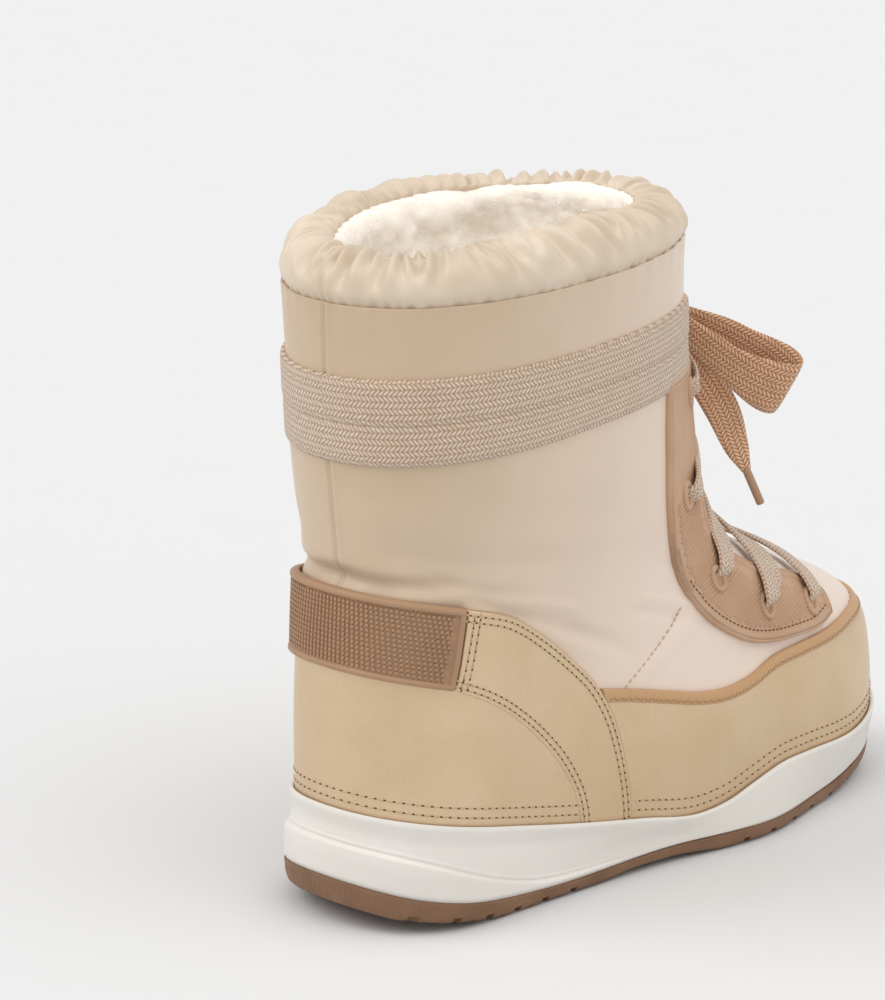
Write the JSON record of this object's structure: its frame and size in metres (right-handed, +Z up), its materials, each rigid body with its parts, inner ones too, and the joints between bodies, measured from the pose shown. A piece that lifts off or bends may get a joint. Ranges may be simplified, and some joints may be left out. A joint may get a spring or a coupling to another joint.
{
  "type": "apres ski boot",
  "caption": "Lace-up winter boot with a padded ankle-high shaft, gathered collar, heel strap, metallic leather rand and a cupped midsole on a lugged outsole.",
  "frame": {"origin": "centre of the shoe's bounding box, laces' bow left out, on the plane it stands on", "axes": "+X to the toe, +Y to the inner side (the wearer's left), +Z up"},
  "size_m": [0.289, 0.1178, 0.2504],
  "materials": {
    "gum_rubber": "matt gum rubber",
    "midsole_foam": "matt off-white moulded foam",
    "fleece": "cream plush pile",
    "satin_nylon": "satin nylon",
    "cuff_nylon": "gathered satin nylon",
    "metallic_leather": "metallic champagne leather",
    "grosgrain_tape": "ribbed tape",
    "tan_rubber": "matt moulded rubber",
    "woven_lace": "herringbone woven flat lace",
    "aglet_plastic": "matt tip"
  },
  "bodies": {
    "root": {"outsole": "gum_rubber", "midsole": "midsole_foam", "insole": "fleece", "upper": "satin_nylon", "collar": "cuff_nylon", "heel_counter": "metallic_leather", "wing_lateral": "metallic_leather", "wing_medial": "metallic_leather", "toe_rand": "metallic_leather", "rand_tape": "grosgrain_tape", "heel_strap": "tan_rubber", "eyestay_lateral": "tan_rubber", "eyestay_medial": "tan_rubber", "lace_wrap_upper": "woven_lace", "lace_wrap_lower": "woven_lace", "lace_crossings": "woven_lace", "lace_knot": "woven_lace", "lace_loop_lateral": "woven_lace", "lace_loop_medial": "woven_lace", "lace_end_lateral": "woven_lace", "lace_end_medial": "woven_lace", "aglet_lateral": "aglet_plastic", "aglet_medial": "aglet_plastic"}
  },
  "joints": []
}
